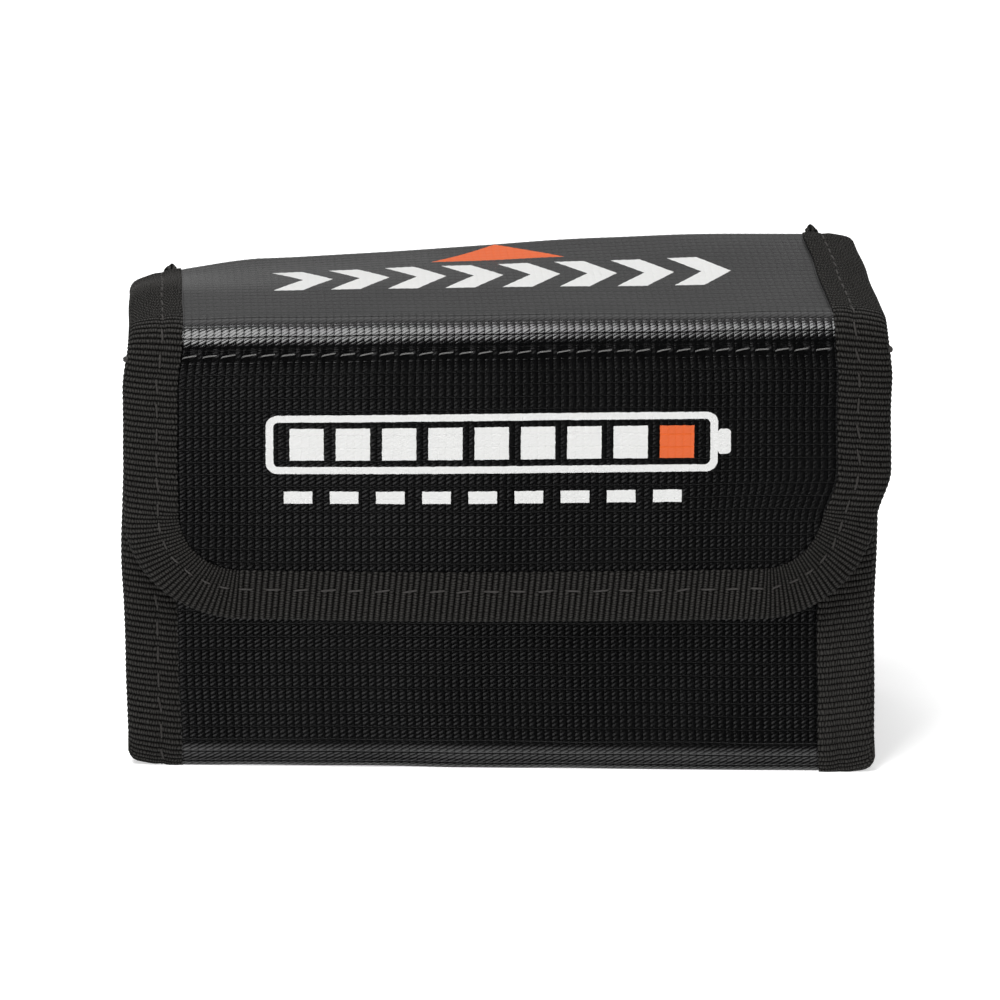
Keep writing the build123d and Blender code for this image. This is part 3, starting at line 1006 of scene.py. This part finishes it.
def lump(name, places, size, material):
    """Small rough lumps at places (x, s, out)."""
    bm = bmesh.new()
    for place in places:
        made = bmesh.ops.create_icosphere(bm, subdivisions=3, radius=1.0)
        for vert in made["verts"]:
            rough = 1 + 0.35 * noise.noise(vert.co * 1.7 + Vector((place[0] / MM, 0, 3.1)))
            x, s, out = (centre + part * rough * reach for centre, part, reach in zip(place, vert.co, size))
            vert.co = (x, s, out)
    lay_on_bag(bm)
    bmesh.ops.recalc_face_normals(bm, faces=bm.faces[:])
    made = piece(name, bm)
    dress(made, material)
    return made


knots = lump(
    "crease_thread_knots",
    [(side * (HALF_FLAP - 0.1 * MM), CREASE + 0.4 * MM, -0.5 * MM) for side in (-1, 1)],
    (0.7 * MM, 0.8 * MM, 0.6 * MM), THREAD_BLACK,
)
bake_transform(knots)
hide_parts("flap_crease_thread")
tape_ends = lump(
    "side_binding_tape_ends",
    [(side * (HALF_BODY - 6.4 * MM), BACK_END + 5.2 * MM, 0.8 * MM) for side in (-1, 1)],
    (1.35 * MM, 1.5 * MM, 1.4 * MM), BINDING,
)
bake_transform(tape_ends)
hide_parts("left_side_binding", "right_side_binding")

base_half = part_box("base_seam_thread")[1].x
base_stitches = stitch_row(
    "base_seam_stitches", 2 * base_half,
    lambda l, d, out: on_bag(l - base_half, BASE_END - 1.7 * MM + d, out), 0.0, ((0.05 * MM, 1),),
)
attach(base_stitches, "body")
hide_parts("base_seam_thread")

# HOOK AND LOOP TAPES
# The flap closes with two nylon tapes as long as each other. The loop tape on the front wall has a
# brushed pile, and the hook tape inside the flap has rows of small moulded hooks. Both are sewn round.

LOOP_LOW, LOOP_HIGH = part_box("loop_strip")
STRIP_HALF = LOOP_HIGH.x
LOOP_FROM = MOUTH - LOOP_HIGH.z
STRIP_WIDTH = LOOP_HIGH.z - LOOP_LOW.z
HOOK_FROM = FLAP_START + TOP - FOLD_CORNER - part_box("hook_strip")[1].z
STRIP_BACKING = 0.45 * MM
FLAP_INSIDE = LINING_FACE - LINING
# the first colour is painted shade between the yarns, the second the yarns' own colour
STRIP_TAPE = webbing("strip tape", (0.004, 0.004, 0.004, 1), (0.024, 0.024, 0.024, 1), 0.7, 0.05)
HOOK_ROWS, HOOKS_IN_ROW = 12, 66
LOOPS = 1700
CURL_STEPS, CURL_SIDES = 6, 4
LOOP_THICK, HOOK_THICK = 0.05 * MM, 0.08 * MM


def curls(name, roots, face, look, reach, rise, turn, thick):
    """Filaments standing on a strip: loops when they turn half round, hooks when further."""

    def point(number, share, angle):
        x, s, lean, size = roots[number]
        bend = pi - turn * share
        radius = size * reach + thick * cos(angle)
        off = radius * cos(bend) + size * reach
        up = rise * size * min(1.0, 3 * share) + radius * sin(bend)
        aside = thick * sin(angle)
        x += off * cos(lean) - aside * sin(lean)
        s += off * sin(lean) + aside * cos(lean)
        return on_bag(x, s, face + look * up), (x / MM, s / MM)

    made = piece(name, strands(len(roots), CURL_STEPS, CURL_SIDES, point))
    dress(made, FILAMENT)
    return made


def strip(name, start, face, look):
    """The woven tape that carries the filaments."""
    rows = spread(start, start + STRIP_WIDTH, 16)
    across = columns(STRIP_HALF, STRIP_HALF / 50)
    bm = flat_cloth(across, rows, lambda x, s: face + STRIP_BACKING / 2 * (1 + look))
    lay_on_bag(bm)
    return piece(name, bm, STRIP_BACKING)


def nylon():
    """Clear black nylon filament with a low shine."""
    material, shader, flat = new_material("nylon filament")
    shade = uneven(flat, 0.6, 2.0)
    feed(shader, {
        "Base Color": tint(shade, (0.006, 0.006, 0.006, 1), (0.04, 0.04, 0.04, 1)),
        "Roughness": calc("MULTIPLY_ADD", shade, 0.2, 0.3),
    })
    return material


FILAMENT = nylon()
scatter = Random(11)
loop_roots = [
    (scatter.uniform(-0.985, 0.985) * STRIP_HALF, LOOP_FROM + scatter.uniform(0.04, 0.94) * STRIP_WIDTH,
     scatter.uniform(0, pi), scatter.uniform(0.75, 1.15))
    for _ in range(LOOPS)
]
hook_places = [(2 * (number + 0.5) / HOOKS_IN_ROW - 1) * 0.97 * STRIP_HALF for number in range(HOOKS_IN_ROW)]
hook_roots = [
    (x, HOOK_FROM + (row + 1) / (HOOK_ROWS + 1) * STRIP_WIDTH, pi * (row % 2), 1.0)
    for row in range(HOOK_ROWS) for x in hook_places
]
loop_strip = strip("loop_strip_tape", LOOP_FROM, 0.0, 1)
dress(loop_strip, STRIP_TAPE)
loop_pile = curls("loop_strip_pile", loop_roots, STRIP_BACKING, 1, 0.38 * MM, 0.2 * MM, pi, LOOP_THICK)
hook_strip = strip("hook_strip_tape", HOOK_FROM, FLAP_INSIDE, -1)
dress(hook_strip, STRIP_TAPE)
hook_face = FLAP_INSIDE - STRIP_BACKING
hook_rows = curls(
    "hook_strip_hooks", hook_roots, hook_face, -1, 0.26 * MM, 0.35 * MM, 1.35 * pi, HOOK_THICK
)
for made in (loop_strip, loop_pile):
    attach(made, "body")
    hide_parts("loop_strip")
for made in (hook_strip, hook_rows):
    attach(made, "flap_front")
    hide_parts("hook_strip")


def round_strip(start):
    """A way round a strip, near its edge, as place(l, d, out)."""
    inset = 1.6 * MM
    half, width = STRIP_HALF - inset, STRIP_WIDTH - 2 * inset

    def place(l, d, out):
        l = l % (4 * half + 2 * width)
        if l < 2 * half:
            return on_bag(l - half, start + inset + d, out)
        if l < 2 * half + width:
            return on_bag(half - d, start + inset + l - 2 * half, out)
        if l < 4 * half + width:
            return on_bag(3 * half + width - l, start + inset + width - d, out)
        return on_bag(d - half, start + inset + 4 * half + 2 * width - l, out)

    return place, 4 * half + 2 * width


for name, start, face, look, body in (
    ("loop_strip", LOOP_FROM, STRIP_BACKING, 1, "body"),
    ("hook_strip", HOOK_FROM, hook_face, -1, "flap_front"),
):
    place, length = round_strip(start)
    row = stitch_row(f"{name}_stitches", length, place, 0.0, ((face, look),))
    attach(row, body)
    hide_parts(f"{name}_thread")

# TABLE, LIGHT AND CAMERA
# The bag stands on a white table. A softbox in front and above makes the highlight along the fold, and
# a wide one behind whitens the table. Card behind and the table ahead are all that the gloss mirrors.

FLOOR_HALF = 3.0


def white_floor():
    """A plain white table top, far wider than any view of it."""
    bm = bmesh.new()
    bmesh.ops.create_grid(bm, x_segments=1, y_segments=1, size=FLOOR_HALF)
    floor = piece("floor", bm)
    material = bpy.data.materials.new("white table")
    material.use_nodes = True
    feed(material.node_tree.nodes["Principled BSDF"].inputs, {
        "Base Color": (0.9, 0.9, 0.9, 1), "Roughness": 0.9, "Specular IOR Level": 0.0,
        "Emission Color": (1, 1, 1, 1), "Emission Strength": 0.6,
    })
    floor.data.materials.append(material)
    floor.visible_glossy = False


def softbox(name, place, aim, size, radiance):
    """A rectangular area light aimed at a point, that the camera doesn't see."""
    light = bpy.data.lights.new(name, "AREA")
    light.shape = "RECTANGLE"
    light.size, light.size_y = size
    light.energy = radiance * pi * size[0] * size[1]
    made = bpy.data.objects.new(name, light)
    made.location = place
    made.rotation_euler = (Vector(aim) - Vector(place)).to_track_quat("-Z", "Y").to_euler()
    bpy.context.scene.collection.objects.link(made)
    made.visible_camera = False


CARD_BEHIND, TABLE_GLOW, SIDE_CARDS, LEFT_GLOW, DARK_STUDIO = 0.35, 2.9, 0.14, 2.2, 0.002


def studio_air():
    """White to the camera. The bag's gloss sees card behind it and the lit table ahead of it."""
    world = bpy.data.worlds.new("studio")
    world.use_nodes = True
    tree = world.node_tree
    way = split(node(tree, "TexCoord").outputs["Generated"])

    def towards(value, low, high, strength):
        reach = {"Value": value, "From Min": low, "From Max": high, "To Max": strength}
        return node(tree, "MapRange", reach, interpolation_type="SMOOTHSTEP").outputs["Result"]

    glow = calc("ADD", towards(way["Y"], 0.6, 1.0, CARD_BEHIND), DARK_STUDIO)
    table = both(towards(way["Z"], -0.6, -0.95, TABLE_GLOW), towards(way["Y"], 0.3, -0.3, 1.0))
    on_band = towards(calc("ABSOLUTE", calc("ADD", way["Z"], 0.19)), 0.11, 0.03, LEFT_GLOW)
    band = both(on_band, towards(way["Y"], 0.0, -0.3, 1.0), towards(way["X"], -0.03, -0.14, 1.0))
    glow = calc("ADD", calc("ADD", glow, table), band)
    glow = calc("ADD", glow, towards(calc("ABSOLUTE", way["X"]), 0.3, 0.8, SIDE_CARDS))
    seen = node(tree, "LightPath").outputs["Is Camera Ray"]
    strength = calc("MAXIMUM", seen, glow)
    feed(tree.nodes["Background"].inputs, {"Color": (1, 1, 1, 1), "Strength": strength})
    bpy.context.scene.world = world


white_floor()
studio_air()
MIDDLE = Vector((0, 0, TOP / 2))
softbox("front softbox", (-0.24, -0.47, 1.1), MIDDLE, (0.4, 1.0), 11.8)
softbox("overhead softbox", (0.0, 0.9, 1.4), MIDDLE, (1.8, 1.2), 1.2)

AZIMUTH, ELEVATION, ROLL = radians(0.6), radians(15.3), radians(0.34)
DISTANCE = 1.2
VIEW_WIDTH = 0.192  # width of the picture at the middle of the bag
AIM = Vector((-0.5 * MM, 0, 45.25 * MM))

camera_data = bpy.data.cameras.new("camera")
camera = bpy.data.objects.new("camera", camera_data)
bpy.context.scene.collection.objects.link(camera)
towards_camera = Vector((sin(AZIMUTH) * cos(ELEVATION), -cos(AZIMUTH) * cos(ELEVATION), sin(ELEVATION)))
camera.location = AIM + towards_camera * DISTANCE
level = (-towards_camera).to_track_quat("-Z", "Y")
camera.rotation_euler = (level @ Quaternion((0, 0, 1), ROLL)).to_euler()
camera_data.sensor_width = 36
camera_data.lens = camera_data.sensor_width * DISTANCE / VIEW_WIDTH
camera_data.clip_start, camera_data.clip_end = 0.05, 20
bpy.context.scene.camera = camera
bpy.context.scene.view_settings.view_transform = "Standard"
